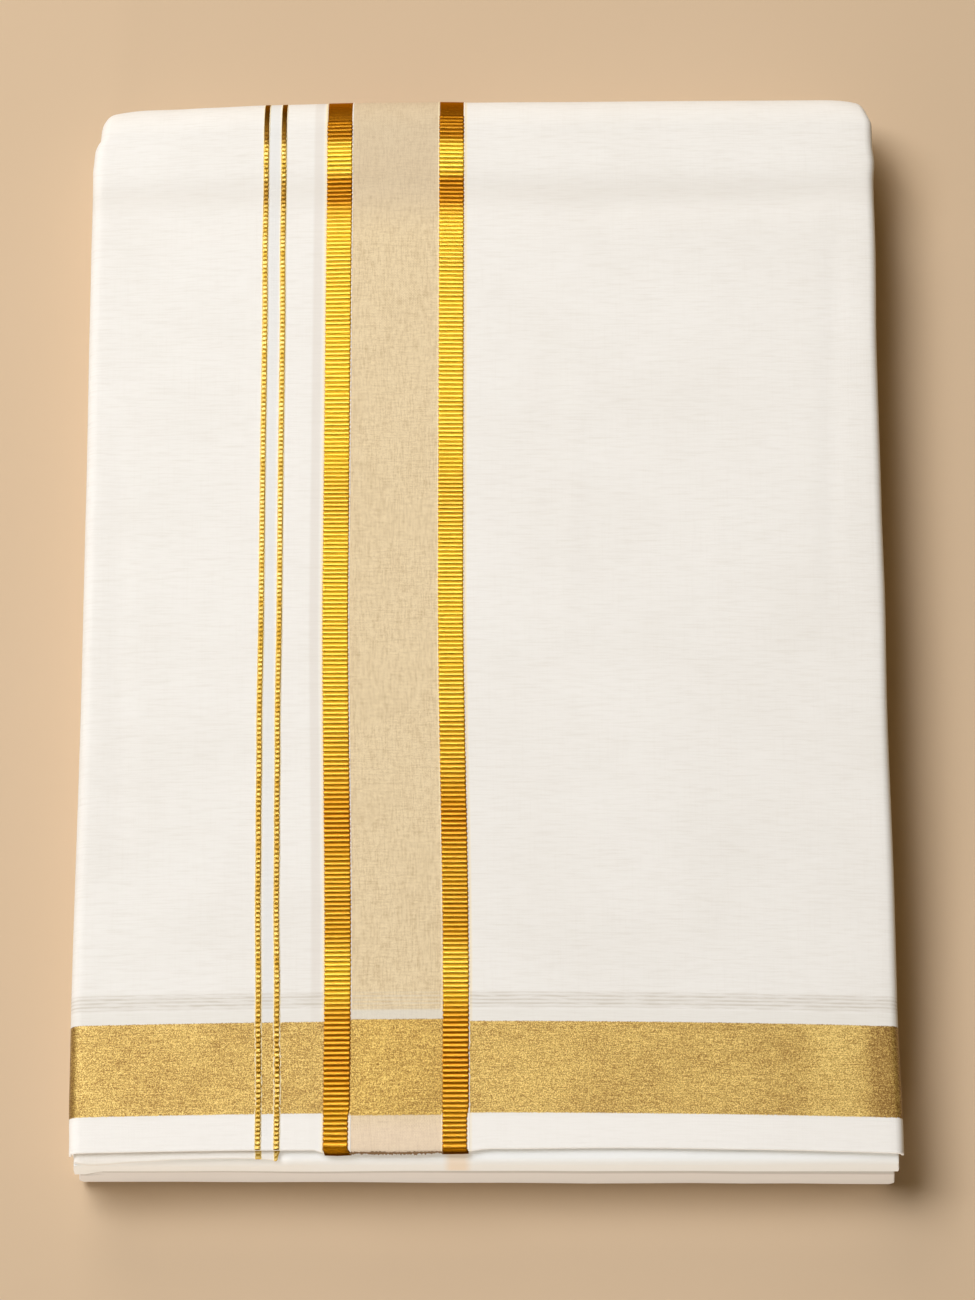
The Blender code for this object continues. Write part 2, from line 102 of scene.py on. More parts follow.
def onPath(y, turn):
    # point and outward direction of the wrap in the YZ plane; turn is the angle round the far fold
    if turn <= 0:
        rise = fieldHeight(y + 0.5 * mm) - fieldHeight(y - 0.5 * mm)
        return Vector((0, y, fieldHeight(y))), Vector((0, -rise, mm)).normalized()
    if turn >= 180:
        return Vector((0, y, 0)), Vector((0, 0, -1))
    angle = math.radians(turn)
    out = Vector((0, math.sin(angle), math.cos(angle)))
    return Vector((0, fold["rollY"], fold["rollRadius"])) + out * fold["rollRadius"], out


def sagAt(x, y, turn):
    top = (1 + math.cos(math.radians(turn))) / 2
    dome = fold["dome"] * top * (x * 2 / fold["width"]) ** 2
    fromEnd = max((abs(x) - fold["width"] / 2 + fold["endSagLength"]) / fold["endSagLength"], 0)
    nearRoll = ease((y - fold["rollY"] + 6 * mm) / (6 * mm)) * math.sin(math.radians(turn)) ** 2
    return dome + fold["endSag"] * nearRoll * fromEnd ** (2.2 if x < 0 else 3.2)


def leanAt(x, y):
    return (fold["lean"] * (x * 2 / fold["width"]) + fromTable(farReach, x)) * ease((y - 20 * mm) / (110 * mm))


def insetAt(x, y, turn):
    # how far a point is moved in towards the middle
    if turn >= 180:
        inset = fold["underInset"]
    else:
        behind = y - fold["rollY"] + math.radians(turn) * fold["rollRadius"]
        inset = fromTable(leftInset if x < 0 else rightInset, behind)
    return inset * ease((abs(x) - fold["width"] / 2 + fold["insetReach"]) / (fold["insetReach"] - 6 * mm))


def wrapPoint(x, depth, y, turn, bend, lift):
    # lift is along the leaf's own outward side
    path, out = onPath(y, turn)
    tip = math.radians(bend)
    leafOut = out * math.cos(tip) + Vector((math.sin(tip), 0, 0))
    place = path - out * (depth + sagAt(x, y, turn)) + leafOut * lift
    return place + Vector((x - math.copysign(1, x) * insetAt(x, y, turn), leanAt(x, path.y), 0))


def across(u, turnsUnder):
    # place across the cloth, in its own width, to place across the fold, depth and facing
    half, side = fold["width"] / 2, fold["sideRadius"]
    if u < side - half:
        arc = side - half - u
        angle = min(arc / side, math.pi / 2)
        straight = max(arc - side * math.pi / 2, 0)
        depth = side * (1 - math.cos(angle)) + straight
        return side - half - side * math.sin(angle), depth, -math.degrees(angle)
    radius = fold["returnRadius"] if turnsUnder else side
    if u > half - radius:
        arc = u - half + radius
        angle = min(arc / radius, math.pi if turnsUnder else math.pi / 2)
        straight = max(arc - radius * angle, 0)
        x = half - radius + radius * math.sin(angle)
        depth = radius * (1 - math.cos(angle))
        if turnsUnder:
            return x - straight, depth, math.degrees(angle)
        return x, depth + straight, math.degrees(angle)
    return u, 0.0, 0.0


def along(s):
    # distance from the near edge, in the cloth's own length, to y and the turn round the far fold
    y = fold["nearEdgeY"] + s
    if y <= fold["rollY"]:
        return y, 0.0
    return fold["rollY"], math.degrees((y - fold["rollY"]) / fold["rollRadius"])


def stripeDrift(x, y):
    inner = ease((fold["width"] / 2 - abs(x)) / (30 * mm)) * ease((60 * mm - x) / (60 * mm))
    return fold["drift"] * inner * ease((10 * mm - y) / (130 * mm))


def weaveBow(x, y):
    share = 1 - ease((y - fold["nearEdgeY"]) / (10 * mm))
    bow = fold["bow"] * (x * 2 / fold["width"]) ** 2 * ease(-y / (110 * mm))
    return bow + fromTable(edgeReach, x) * share


# soft troughs and ridges pressed into the field: middle x and y, run, half width and height in mm, heading in degrees
topCreases = (
    (-60, 122, 120, 6.0, -0.30, 1), (62, 128, 110, 5.0, -0.34, 2), (10, 108, 150, 9.0, 0.16, -1),
    (-84, 88, 70, 5.0, 0.14, 4), (48, 66, 130, 8.0, -0.14, -2), (88, 20, 60, 6.0, 0.16, 3),
    (-88, 6, 64, 5.0, -0.16, -3), (30, -18, 140, 9.0, 0.12, 1), (74, -66, 90, 6.0, -0.18, -2),
    (-92, -84, 50, 5.0, 0.15, 2), (12, -96, 110, 7.0, -0.10, 2), (104, 60, 150, 3.0, -0.22, 88),
    (-107, -20, 170, 3.0, -0.20, 91), (26, 40, 110, 2.6, 0.10, 87), (58, -116, 60, 5.0, 0.13, -1),
)


def creaseLift(creases, x, y):
    lift = 0.0
    for cx, cy, run, half, height, heading in creases:
        turn = math.radians(heading)
        dx, dy = x / mm - cx, y / mm - cy
        onward = dx * math.cos(turn) + dy * math.sin(turn)
        aside = dy * math.cos(turn) - dx * math.sin(turn)
        if abs(onward) < run / 2 and abs(aside) < 3 * half:
            lift += height * math.exp(-((aside / half) ** 2)) * ease(2 - abs(onward) * 4 / run)
    return lift * mm


def unevenness(x, y, size, height):
    # a slow, fixed waviness of pressed cloth
    return noise.noise(Vector((x / size, y / size, 0.37))) * height


class Wire:
    # a socket of a material, which can be written into sums
    def __init__(self, tree, socket=None):
        self.tree = tree
        self.socket = socket

    def node(self, kind, settings=None, inputs=None, out=0):
        made = self.tree.nodes.new(kind)
        for name, value in (settings or {}).items():
            if name == "stops":
                while len(made.color_ramp.elements) < len(value):
                    made.color_ramp.elements.new(1.0)
                for element, (place, colour) in zip(made.color_ramp.elements, value):
                    element.position = place
                    element.color = colour
            elif name == "interpolation" and kind == "ShaderNodeValToRGB":
                made.color_ramp.interpolation = value
            else:
                setattr(made, name, value)
        for name, value in (inputs or {}).items():
            if isinstance(value, Wire):
                self.tree.links.new(value.socket, made.inputs[name])
            else:
                made.inputs[name].default_value = value
        return Wire(self.tree, made.outputs[out])

    def maths(self, operation, *values, clamp=False):
        return self.node("ShaderNodeMath", {"operation": operation, "use_clamp": clamp}, dict(enumerate(values)))

    def __add__(self, other):
        return self.maths("ADD", self, other)

    __radd__ = __add__

    def __sub__(self, other):
        return self.maths("SUBTRACT", self, other)

    def __rsub__(self, other):
        return self.maths("SUBTRACT", other, self)

    def __mul__(self, other):
        return self.maths("MULTIPLY", self, other)

    __rmul__ = __mul__

    def step(self, low, high):
        # 0 under low, 1 over high, eased between
        return self.node("ShaderNodeMapRange", {"interpolation_type": "SMOOTHSTEP"},
                         {"Value": self, "From Min": low, "From Max": high})

    def between(self, low, high, soft):
        return self.step(low - soft, low + soft) * (1 - self.step(high - soft, high + soft))

    def mix(self, other, share):
        # this colour, going over by a share to another one, which may be a tone of 0 to 255
        inputs = {"Factor": share, 6: self, 7: other if isinstance(other, Wire) else tint(*other)}
        return self.node("ShaderNodeMix", {"data_type": "RGBA"}, inputs, out=2)

    def tones(self, low, high):
        # two fixed colours mixed by this share
        inputs = {"Factor": self, 6: tint(*low), 7: tint(*high)}
        return self.node("ShaderNodeMix", {"data_type": "RGBA"}, inputs, out=2)

    def bump(self, strength, distance):
        inputs = {"Strength": strength, "Distance": distance, "Height": self}
        return self.node("ShaderNodeBump", {}, inputs)


def tint(red, green, blue):
    # a colour as it looks, 0 to 255, to the linear one that a shader takes
    linear = [(c / 255) / 12.92 if c <= 10 else ((c / 255 + 0.055) / 1.055) ** 2.4 for c in (red, green, blue)]
    return (*linear, 1.0)


def newMaterial(name, roughness, metallic=0.0, sheen=0.0):
    material = bpy.data.materials.new(name)
    material.use_nodes = True
    shader = material.node_tree.nodes["Principled BSDF"]
    shader.inputs["Roughness"].default_value = roughness
    shader.inputs["Metallic"].default_value = metallic
    shader.inputs["Sheen Weight"].default_value = sheen
    shader.inputs["Sheen Roughness"].default_value = 0.5
    return material, shader, Wire(material.node_tree)


def plug(wire, shader, name):
    wire.tree.links.new(wire.socket, shader.inputs[name])


def clothPlaces(wire):
    # the piece's own UV map holds its place across and along the weave, in metres
    return wire.node("ShaderNodeUVMap", {"uv_map": "weave"})


def objectPlaces(wire):
    return wire.node("ShaderNodeTexCoord", {}, {}, out=3)


def axis(place, index):
    # one of the three directions, in mm
    return place.node("ShaderNodeSeparateXYZ", {}, {"Vector": place}, out=index) * 1000


def threadNoise(moved, detail, spread):
    inputs = {"Vector": moved, "Scale": 1.0, "Detail": detail, "Roughness": spread}
    return moved.node("ShaderNodeTexNoise", {}, inputs)


def streaks(place, acrossScale, alongScale, detail, seed, spread=0.6):
    # noise drawn out along the threads; scales are per metre
    mapping = {"Vector": place, "Scale": (acrossScale, alongScale, 1.0), "Location": (seed, seed * 0.7, seed * 1.3)}
    return threadNoise(place.node("ShaderNodeMapping", {}, mapping), detail, spread)


cottonLook = {
    "white": (247, 245, 241),
    "shade": (233, 229, 222),
    "cream": (255, 246, 214),
    "creamShade": (240, 220, 172),
    "weft": 2100,  # slubs across, per metre along
    "warp": 1700,
    "threadPitch": 0.42,  # mm
    "roughness": 0.86,
    "sheen": 0.12,
}


def cottonColour(place):
    weft = streaks(place, 130, cottonLook["weft"], 3, 3.1)
    warp = streaks(place, cottonLook["warp"], 60, 2, 7.7)
    slub = streaks(place, 90, 900, 2, 17.0)
    cloud = streaks(place, 24, 34, 2, 11.0)
    slubs = weft.step(0.40, 0.74) * 0.34 + warp.step(0.45, 0.85) * 0.16
    slubs = slubs + slub.step(0.5, 0.70) * 0.20 + cloud.step(0.3, 0.8) * 0.26
    return slubs.tones(cottonLook["white"], cottonLook["shade"]), weft, warp


def threadGrid(place, pitch):
    # crossing threads as a height, pitch in mm
    x, y = axis(place, 0), axis(place, 1)
    over = x.maths("SINE", x * (2 * math.pi / pitch))
    under = y.maths("SINE", y * (2 * math.pi / pitch))
    return over * under


def weaveHeight(place, weft, warp):
    return weft * 0.6 + warp * 0.4 + threadGrid(place, cottonLook["threadPitch"]) * 0.12


def cottonMaterial():
    material, shader, wire = newMaterial("plainCotton", cottonLook["roughness"], sheen=cottonLook["sheen"])
    place = objectPlaces(wire)
    colour, weft, warp = cottonColour(place)
    plug(colour, shader, "Base Color")
    plug(weaveHeight(place, weft, warp).bump(0.25, 0.00025), shader, "Normal")
    return material


def creamThreadMaterial():
    # the cotton that binds a gold stripe's side, tinged by the gold
    material, shader, wire = newMaterial("creamThread", 0.8)
    place = clothPlaces(wire)
    fray = streaks(place, 900, 1500, 2, 14.0, 0.6)
    plug(fray.step(0.3, 0.75).tones(cottonLook["cream"], cottonLook["creamShade"]), shader, "Base Color")
    return material


# the block's painted shade and light at its front, besides its own fold lines, with heights and places in mm
layerLook = {
    "lineScale": (45, 45, 2600),  # fold lines, level round the stack
    "front": (-164, -160),  # only what lies before this takes the painted shade and light below
    "cornerDip": (-114, -109),  # the painted crease shade runs lower at the left corner
    "cornerDrop": 3.4,
    "crease": (13.2, 16.0),
    "creaseShadeTone": (150, 136, 120),
    "creaseShare": 0.66,
    "lowerShadeTone": (205, 200, 199),
    "lowerShare": 0.42,
    "upperLightTone": (247, 252, 255),
    "upperShare": 0.5,
    "upperMore": 0.3,  # and right of the second leaf's edge
    # painted glow: the gold stripe's warm light reflected onto the front below it
    "glowAcross": (-10.6, -4.4),
    "glowUp": (16.5, 31),
    "glowTone": (244, 198, 124),
    "glowShare": 0.36,
}


def layerMaterial():
    # the same cotton seen at its folds
    look = layerLook
    material, shader, wire = newMaterial("foldedCotton", cottonLook["roughness"], sheen=cottonLook["sheen"])
    place = objectPlaces(wire)
    level = place.node("ShaderNodeMapping", {}, {"Vector": place, "Scale": look["lineScale"]})
    lines = threadNoise(level, 3, 0.6)
    cloud = streaks(place, 24, 24, 2, 11.0)
    shade = lines.step(0.38, 0.75) * 0.3 + cloud.step(0.3, 0.8) * 0.15
    colour = shade.tones(cottonLook["white"], cottonLook["shade"])
    x, y, z = axis(place, 0), axis(place, 1), axis(place, 2)
    z = z + (1 - x.step(*look["cornerDip"])) * look["cornerDrop"]
    atFront = 1 - y.step(*look["front"])
    # painted shade: darker deep between the two halves, and a little so all down the lower half
    colour = colour.mix(look["creaseShadeTone"], z.between(*look["crease"], 0.9) * atFront * look["creaseShare"])
    colour = colour.mix(look["lowerShadeTone"], (1 - z.step(13, 16)) * atFront * look["lowerShare"])
    # painted light: the upper half lighter, more so right of the second leaf's edge
    upper = x.step(-58, -40) * look["upperMore"] + look["upperShare"]
    colour = colour.mix(look["upperLightTone"], z.step(13, 17) * atFront * upper)
    # painted reflected glow of the gold stripe
    glow = x.between(*look["glowAcross"], 1.6) * z.between(*look["glowUp"], 2) * atFront
    colour = colour.mix(look["glowTone"], glow * look["glowShare"])
    plug(colour, shader, "Base Color")
    plug(lines.bump(0.3, 0.0003), shader, "Normal")
    return material


# the woven bands across the near end of the top leaf, in mm from its near edge, and those that run along it
bands = {
    "gold": (10.0, 36.8),
    "grey": (40.9, 45.4),
    "tissue": (-39.9, -13.5),
    "sheer": (-51.2, -48.5),
    "blue": (-64.9, -61.7),
    "halo": ((-47.3, -39.9), (-13.5, -6.3)),  # sides of the zari stripes
    "goldTones": ((132, 94, 34), (206, 169, 86), (252, 226, 142)),
    "oliveTones": ((124, 88, 22), (198, 158, 70), (246, 216, 124)),  # of the same band over the tissue
    "tissueLight": (241, 221, 182),
    "tissueDark": (201, 176, 135),
    "tissueHem": (244, 223, 203),
    "tissueFarShade": (206, 188, 164),
    "sheerTone": (226, 219, 211),
    "blueTone": (224, 228, 231),
    "haloTone": (250, 232, 190),
    "valley": (292, 299),  # the dip this side of the far fold
    "valleyShadeTone": (220, 214, 204),
    "greyTone": (198, 189, 174),
    "plainStrip": (229, 226, 217),
    "endStripLight": (255, 253, 250),
}


def tissueColour(place, s):
    # a fine open grid, clearer in some places than in others
    grain = streaks(place, 2600, 2900, 2, 5.0, 0.7)
    upright = streaks(place, 2300, 260, 2, 9.0, 0.7)
    level = streaks(place, 260, 2300, 2, 19.0, 0.7)
    clear = streaks(place, 60, 60, 1, 8.0)
    grid = threadGrid(place, 0.8)
    shade = grain.step(0.32, 0.68) * 0.34 + upright.step(0.42, 0.66) * 0.34 + level.step(0.42, 0.66) * 0.28
    shade = shade + grid * clear.step(0.4, 0.6) * 0.2 - 0.02
    colour = shade.tones(bands["tissueLight"], bands["tissueDark"])
    colour = colour.mix(bands["tissueHem"], (1 - s.step(4, 14)) * 0.55)
    # painted shade: the tissue greyer towards the far fold
    return colour.mix(bands["tissueFarShade"], s.step(278, 300) * 0.45), grain + upright


def goldBandColour(place, x, inTissue):
    # a glittering weave, with painted light brighter towards the sides and painted shade dulling it where they turn
    # down
    glitter = streaks(place, 3300, 3500, 2, 2.0, 0.8)
    spark = streaks(place, 5200, 5400, 1, 21.0, 0.8)
    row = streaks(place, 160, 2600, 2, 4.0, 0.7)
    patch = streaks(place, 34, 46, 2, 6.0)
    sparkle = glitter.step(0.36, 0.64) * 0.7 + spark.step(0.34, 0.66) * 0.34 + row.step(0.3, 0.7) * 0.22
    sparkle = sparkle + patch.step(0.3, 0.7) * 0.12 - 0.25
    paintedLightNearSides = x.between(-115.5, -109, 2.5) * 0.05 + x.between(92, 106, 5) * 0.15
    paintedShadeOnTurn = x.step(107, 112) * (1 - glitter) * 0.5 + (1 - x.step(-117.5, -115.5)) * 0.3
    sparkle = sparkle + paintedLightNearSides - paintedShadeOnTurn
    ramps = []
    for tones in (bands["goldTones"], bands["oliveTones"]):
        stops = [(mark, tint(*tone)) for mark, tone in zip((0.04, 0.5, 0.96), tones)]
        ramps.append(sparkle.node("ShaderNodeValToRGB", {"stops": stops}, {"Fac": sparkle}))
    return ramps[0].mix(ramps[1], inTissue), glitter, row


def topLeafMaterial():
    material, shader, wire = newMaterial("borderedCotton", 0.8, sheen=0.1)
    place = clothPlaces(wire)
    x, s = axis(place, 0), axis(place, 1)
    colour, weft, warp = cottonColour(place)
    # sheer stripes, and the gold's own warmth beside the zari
    sheer = x.between(*bands["sheer"], 0.5) * (0.15 + s.step(20, 60) * 0.35)
    blue = x.between(*bands["blue"], 0.4) * 0.4
    colour = colour.mix(bands["sheerTone"], sheer).mix(bands["blueTone"], blue)
    leftHalo, rightHalo = bands["halo"]
    halo = x.between(leftHalo[0] - 0.7, leftHalo[1] + 0.7, 0.35)
    halo = halo + x.between(rightHalo[0] - 0.8, rightHalo[1] + 1.0, 0.45)
    colour = colour.mix(bands["haloTone"], halo * 0.7)
    # painted shade in the dip this side of the far fold
    colour = colour.mix(bands["valleyShadeTone"], s.between(*bands["valley"], 5) * 0.3)
    # grey lines above the gold band, uneven, with a plain strip between that crosses the tissue too
    lines = s.maths("SINE", s * (2 * math.pi / 1.1) + (weft - 0.5) * 3) * 0.5 + 0.5
    inGrey = s.between(*bands["grey"], 0.6)
    grey = inGrey * (0.14 + lines * weft.step(0.3, 0.6) * 0.5)
    colour = colour.mix(bands["greyTone"], grey)
    tissue, grain = tissueColour(place, s)
    betweenBands = s.between(bands["gold"][1] - 2, bands["grey"][0] - 0.6, 0.5)
    tissue = tissue.mix(bands["plainStrip"], betweenBands * 0.72 + inGrey * lines * 0.3)
    colour = colour.mix(bands["plainStrip"], betweenBands * 0.3)
    # painted light whitening the strip by the near edge, in part the plain border's own whiter cloth
    colour = colour.mix(bands["endStripLight"], (1 - s.step(8, 11)) * 0.45)
    inTissue = x.between(*bands["tissue"], 0.15)
    gold, glitter, row = goldBandColour(place, x, inTissue)
    middle = sum(bands["gold"]) / 2
    wider = (s - middle) * (1 - inTissue * 0.045) + middle  # the band is a little wider on the tissue
    inGold = (wider + (glitter - 0.5) * 0.9).between(*bands["gold"], 0.12)
    colour = colour.mix(tissue, inTissue).mix(gold, inGold)
    plug(colour, shader, "Base Color")
    plug(inGold * 0.4, shader, "Metallic")
    plug(0.86 - inGold * 0.36 - inTissue * 0.08, shader, "Roughness")
    woven = weaveHeight(place, weft, warp) * (1 - inGold) * (1 - inTissue)
    woven = woven + grain * inTissue * 0.7 + (glitter * 1.4 + row * 0.4) * inGold
    plug((woven + lines * inGrey * 0.3).bump(0.3, 0.0003), shader, "Normal")
    return material


zari = {
    "bright": ((178, 128, 6), (234, 190, 50), (255, 220, 92)),  # painted tones: gap, side and crown of a rib as lit in full light
    "deep": ((84, 42, 0), (162, 96, 2), (228, 158, 46)),  # and as shaded where the cloth dips or turns away
    "roughness": 0.36,
    "metal": 1.0,
    # painted light and shade: how bright the metal is painted by distance from the near edge in mm
    "light": ((0, 0.05), (3, 0.18), (10, 0.2), (20, 0.06), (37, 0.1), (46, 0.6), (54, 0.75), (63, 0.25), (80, 0.3),
              (98, 0.08), (118, 0.48), (136, 0.72), (176, 0.84), (198, 0.64), (218, 0.86), (284, 0.86), (289, 0.5),
              (293, 0.0), (299, 0.0), (303, 0.9), (307, 1.0), (309.5, 0.9), (311.5, 0.3), (313, 0.0)),
    "reach": 350,  # mm that the table above is spread over
    "fine": 5200,  # streaks on the metal, per metre along
    "farShadeTone": (112, 70, 4),  # painted shade round the far fold, by a share
    "farShare": 0.38,
    "edgeTint": (255, 205, 96),
}
# the fine lines' own painted tones, and painted light and shade along them
zariThin = dict(
    zari, bright=((92, 64, 8), (196, 156, 60), (232, 204, 124)), deep=((72, 46, 6), (152, 112, 38), (208, 170, 84)),
    light=((0, 0.6), (3, 0.35), (10, 0.3), (25, 0.15), (54, 0.5), (70, 0.35), (104, 0.3), (150, 0.7), (180, 0.85),
           (284, 1.0), (291, 0.5), (294, 0.0), (299, 0.0), (302, 0.85), (309, 1.0), (311, 0.6), (312, 0.0)),
    fine=3400, farShadeTone=(100, 66, 18), farShare=0.8,
)
# the same lines under the leaf above, painted at full light all along and less metallic so they stay pale in its shade
zariUnderLit = dict(zariThin, light=((0, 1.0), (300, 1.0)), metal=0.45)


def zariMaterial(name, look):
    material, shader, wire = newMaterial(name, look["roughness"], look["metal"])
    place = clothPlaces(wire)
    s = axis(place, 1)
    stops = [(mark / look["reach"], (light, light, light, 1)) for mark, light in look["light"]]
    light = s.node("ShaderNodeValToRGB", {"stops": stops, "interpolation": "EASE"}, {"Fac": s * (1 / look["reach"])})
    # the value read here is each point's share of painted highlight, not a rib height
    height = wire.node("ShaderNodeAttribute", {"attribute_name": "ribHeight"}, {}, out=2)
    fine = streaks(place, 170, look["fine"], 2, 3.0, 0.7)
    patch = streaks(place, 110, 360, 1, 5.5, 0.5)
    inBand = s.between(13, 36, 2.5)  # the ribs' painted highlights stand out most where they cross the gold band
    shine = height * 0.8 + fine * 0.35 - 0.04 + inBand * (height * 0.3 - 0.16)
    tones = []
    for key in ("deep", "bright"):
        stops = [(mark, tint(*colour)) for mark, colour in zip((0.06, 0.5, 0.95), look[key])]
        tones.append(shine.node("ShaderNodeValToRGB", {"stops": stops}, {"Fac": shine}))
    # the share from the shaded to the lit tones: the painted light table, unevened in patches
    flatAndLitShare = light.maths("ADD", light, (patch - 0.5) * (light * 0.4 + 0.1), clamp=True)
    # painted shade round the far fold and in the dip before it
    farShare = s.step(310.2, 313.4) * look["farShare"] + s.between(292, 299, 2) * 0.3
    plug(tones[0].mix(tones[1], flatAndLitShare).mix(look["farShadeTone"], farShare), shader, "Base Color")
    shader.inputs["Specular Tint"].default_value = tint(*look["edgeTint"])
    plug(fine.bump(0.35, 0.0002), shader, "Normal")
    return material


def inScene(name, mesh, material):
    data = bpy.data.meshes.new(name)
    mesh.to_mesh(data)
    mesh.free()
    data.materials.append(material)
    piece = bpy.data.objects.new(name, data)
    bpy.context.scene.collection.objects.link(piece)
    return piece


def gridPiece(name, columns, rows, place, material, thickness=0.0):
    # a grid whose points are then set by their place in the weave; the UV map keeps that place
    mesh = bmesh.new()
    bmesh.ops.create_grid(mesh, x_segments=len(columns) - 1, y_segments=len(rows) - 1, size=0.5)
    weave = mesh.loops.layers.uv.new("weave")
    # each point's share of painted highlight, read by the zari materials
    ribHeight = mesh.verts.layers.float.new("ribHeight")
    spots = {}
    for point in mesh.verts:
        i = round((point.co.x + 0.5) * (len(columns) - 1))
        j = round((point.co.y + 0.5) * (len(rows) - 1))
        spots[point] = (columns[i], rows[j])
    for point, (u, s) in spots.items():
        point.co, point[ribHeight] = place(u, s)
    for face in mesh.faces:
        for loop in face.loops:
            loop[weave].uv = spots[loop.vert]
        face.smooth = True
    piece = inScene(name, mesh, material)
    if thickness:
        wall = piece.modifiers.new("wall", "SOLIDIFY")
        wall.thickness = thickness
        wall.offset = -1
    return piece


def spread(start, end, step):
    count = max(round(abs(end - start) / step), 1)
    return [start + (end - start) * k / count for k in range(count + 1)]


def joined(*runs):
    # runs of places end to end, with the shared ones once
    places = []
    for run in runs:
        places += [place for place in run if not places or place - places[-1] > 0.01 * mm]
    return places


topLeaf = {
    "wall": 0.7 * mm,
    "columnStep": 2.4 * mm,
    "rowStep": 2.0 * mm,
    "endTurn": 119.2,  # degrees round the far fold
    "returnBehind": 3.4 * mm,
}
leafLength = fold["rollY"] - fold["nearEdgeY"] + math.radians(topLeaf["endTurn"]) * fold["rollRadius"]
half = fold["width"] / 2
sideArc = fold["sideRadius"] * math.pi / 2
sideStart = fold["sideRadius"] - half  # where a plain left side starts to turn down
leftLip = sideStart - sideArc - (fold["turnDepth"] - fold["sideRadius"])
returnArc = fold["returnRadius"] * math.pi
rightLip = half - fold["returnRadius"] + returnArc + fold["returnLength"]


def leafSurface(u, s, lift=0.0):
    # outer surface of the top leaf, by place in the weave
    x, depth, bend = across(u, True)
    y, turn = along(s)
    flatness = max(math.cos(math.radians(bend)), 0) * (1 - ease(turn / 40))
    lift += (creaseLift(topCreases, x, y) + unevenness(x, y, 45 * mm, 0.10 * mm)) * flatness
    if turn == 0:
        # the part turned under ends a little behind the hem
        y += topLeaf["returnBehind"] * ease((bend - 95) / 50) * (1 - ease(s / (9 * mm)))
        place = wrapPoint(x, depth, y - weaveBow(x, y), turn, bend, lift)
        return place + Vector((stripeDrift(x, y), 0, 0))
    return wrapPoint(x, depth, y, turn, bend, lift)


def makeTopLeaf(material):
    columns = joined(
        spread(leftLip, sideStart, 0.7 * mm),
        spread(sideStart, half - fold["returnRadius"], topLeaf["columnStep"]),
        spread(half - fold["returnRadius"], rightLip, 0.7 * mm),
    )
    rows = joined(
        spread(0, 4 * mm, 0.8 * mm), spread(4 * mm, 265 * mm, topLeaf["rowStep"]),
        spread(265 * mm, leafLength, 1.2 * mm)
    )
    return gridPiece("topLeaf", columns, rows, lambda u, s: (leafSurface(u, s), 0.0), material, topLeaf["wall"])


# the raised stripes of the top leaf: middle and width across, in mm
stripes = {
    "zariLeft": {"x": -43.6, "width": 7.2, "lip": 1.75, "slip": 0.8, "smoothFrom": 316.6},
    "zariRight": {"x": -9.85, "width": 7.1, "lip": 1.0, "slip": 0.2, "smoothFrom": 319.0},
    "fineLeft": {"x": -65.75, "width": 1.5, "smoothFrom": 313.5},
    "fineRight": {"x": -60.45, "width": 1.5, "smoothFrom": 313.5},
}
# rib pitch by distance from the near edge, in mm
ribPitch = ((0, 1.36), (5, 1.18), (10, 1.40), (14, 1.49), (30, 1.48), (55, 1.40), (75, 1.34), (95, 1.45), (125, 1.42),
            (160, 1.33), (200, 1.33), (235, 1.43), (265, 1.37), (310, 1.36), (347, 1.40))
rib = {
    "height": 0.33 * mm,
    "perRib": 6,  # rows of points
    "smoothShine": 0.72,
    "sideShare": 0.55,  # height at the stripe's sides
    "sideShine": 0.8,
    "tuck": 0.25 * mm,  # the sides end this far under the cloth's surface
}


def ribRows(start, end, smoothFrom):
    # rows along the cloth, a fixed number to each rib: place, height of the rib and its share of painted highlight
    rows = [(start, 0.0, 0.0)]
    s = start
    while s < end:
        pitch = fromTable(ribPitch, s)
        # share by which the ribs flatten towards the far fold, evening their painted shine
        flatAndLitShare = ease((s - smoothFrom * mm) / (1.5 * mm))
        uneven = 1 + unevenness(s, start + 3 * mm, 3.1 * mm, 0.35)
        for k in range(1, rib["perRib"] + 1):
            share = k / rib["perRib"]
            height = math.sin(math.pi * share) ** 0.6 * uneven if share < 1 else 0.0
            shine = height + (rib["smoothShine"] - height) * flatAndLitShare
            rows.append((s + pitch * share, height * (1 - 0.85 * flatAndLitShare), shine))
        s += pitch
    return rows


def lipRows(lip):
    # the stripe's last weft lies smooth and turns down at the cut edge, painted dark there with a painted highlight
    # just above
    dark = lip * mm
    return [(-0.7 * mm, -0.6, 0.0), (-0.4 * mm, 0.1, 0.0), (0.1 * mm, 0.5, 0.1), (dark * 0.55, 0.6, 0.06),
            (dark * 0.9, 0.5, 0.0), (dark + 0.15 * mm, 0.85, 0.9), (dark + 0.6 * mm, 0.95, 1.0),
            (dark + 1.0 * mm, 0.6, 0.5)]


